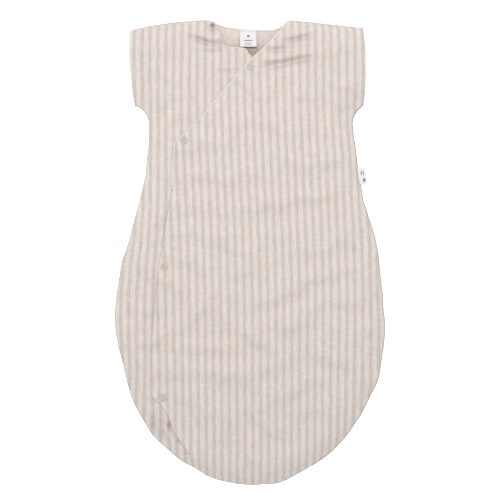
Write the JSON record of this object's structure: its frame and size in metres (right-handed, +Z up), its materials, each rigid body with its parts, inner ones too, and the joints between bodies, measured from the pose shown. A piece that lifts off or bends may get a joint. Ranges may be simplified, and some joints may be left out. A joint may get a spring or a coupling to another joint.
{
  "type": "baby sleeping bag",
  "caption": "Wrap-front baby sleeping bag of striped muslin with short open sleeves, a rounded closed foot, ring snaps, a woven neck label and a side label.",
  "frame": {"origin": "on the floor below the middle of the bag lying flat on its back, front side up", "axes": "+X across the bag to the right as seen from above, +Y from the hem to the neck, +Z up from the floor"},
  "size_m": [0.4, 0.698, 0.0222],
  "materials": {
    "striped_muslin": "matte",
    "lining_muslin": "matte",
    "wadding": "matte",
    "firm_tape": "matte",
    "label_tape": "matte",
    "snap_metal": "satin"
  },
  "bodies": {
    "bag": {"back_shell": "striped_muslin", "back_wadding": "wadding", "back_lining": "lining_muslin", "under_front_shell": "striped_muslin", "under_front_wadding": "wadding", "under_front_lining": "lining_muslin", "under_placket_tape": "firm_tape", "wrap_front_shell": "striped_muslin", "wrap_front_wadding": "wadding", "wrap_front_lining": "lining_muslin", "side_seam_left": "striped_muslin", "side_seam_right": "striped_muslin", "hem_seam": "striped_muslin", "shoulder_seam_left": "striped_muslin", "shoulder_seam_right": "striped_muslin", "back_neck_tape": "striped_muslin", "sleeve_hem_left": "striped_muslin", "sleeve_hem_right": "striped_muslin", "snap_two_stud": "snap_metal", "snap_two_back_ring": "snap_metal", "snap_three_stud": "snap_metal", "snap_three_back_ring": "snap_metal", "snap_four_stud": "snap_metal", "snap_four_back_ring": "snap_metal"},
    "wrap_flap": {"wrap_flap_shell": "striped_muslin", "wrap_flap_wadding": "wadding", "wrap_flap_lining": "lining_muslin", "wrap_edge_binding": "striped_muslin", "wrap_placket_tape": "firm_tape", "snap_one_cap_ring": "snap_metal", "snap_one_socket": "snap_metal", "snap_two_cap_ring": "snap_metal", "snap_two_socket": "snap_metal", "snap_three_cap_ring": "snap_metal", "snap_three_socket": "snap_metal", "snap_four_cap_ring": "snap_metal", "snap_four_socket": "snap_metal"},
    "under_flap": {"under_flap_shell": "striped_muslin", "under_flap_wadding": "wadding", "under_flap_lining": "lining_muslin", "under_edge_binding": "striped_muslin", "snap_one_stud": "snap_metal", "snap_one_back_ring": "snap_metal"},
    "neck_label": {"neck_label": "label_tape"},
    "side_label": {"side_label": "label_tape"}
  },
  "joints": [
    {"name": "wrap_flap_fold", "type": "hinge", "parent": "bag", "child": "wrap_flap", "pos_m": [-0.01405, 0, 0.0214], "axis": [0.2007, 0.9797, 0], "range_deg": [0, 165]},
    {"name": "under_flap_fold", "type": "hinge", "parent": "bag", "child": "under_flap", "pos_m": [-0.07218, 0, 0.018], "axis": [-0.0367, -0.9993, 0], "range_deg": [0, 60]},
    {"name": "neck_label_lift", "type": "hinge", "parent": "bag", "child": "neck_label", "pos_m": [-0.00225, 0.3335, 0.0047], "axis": [-1, 0, 0], "range_deg": [0, 165]},
    {"name": "side_label_bend", "type": "hinge", "parent": "bag", "child": "side_label", "pos_m": [0.1672, 0.1015, 0.0096], "axis": [0.1564, -0.9877, 0], "range_deg": [-45, 75]}
  ],
  "couplings": [
    {"joint": "under_flap_fold", "follows": "wrap_flap_fold", "ratio": 0.35}
  ]
}
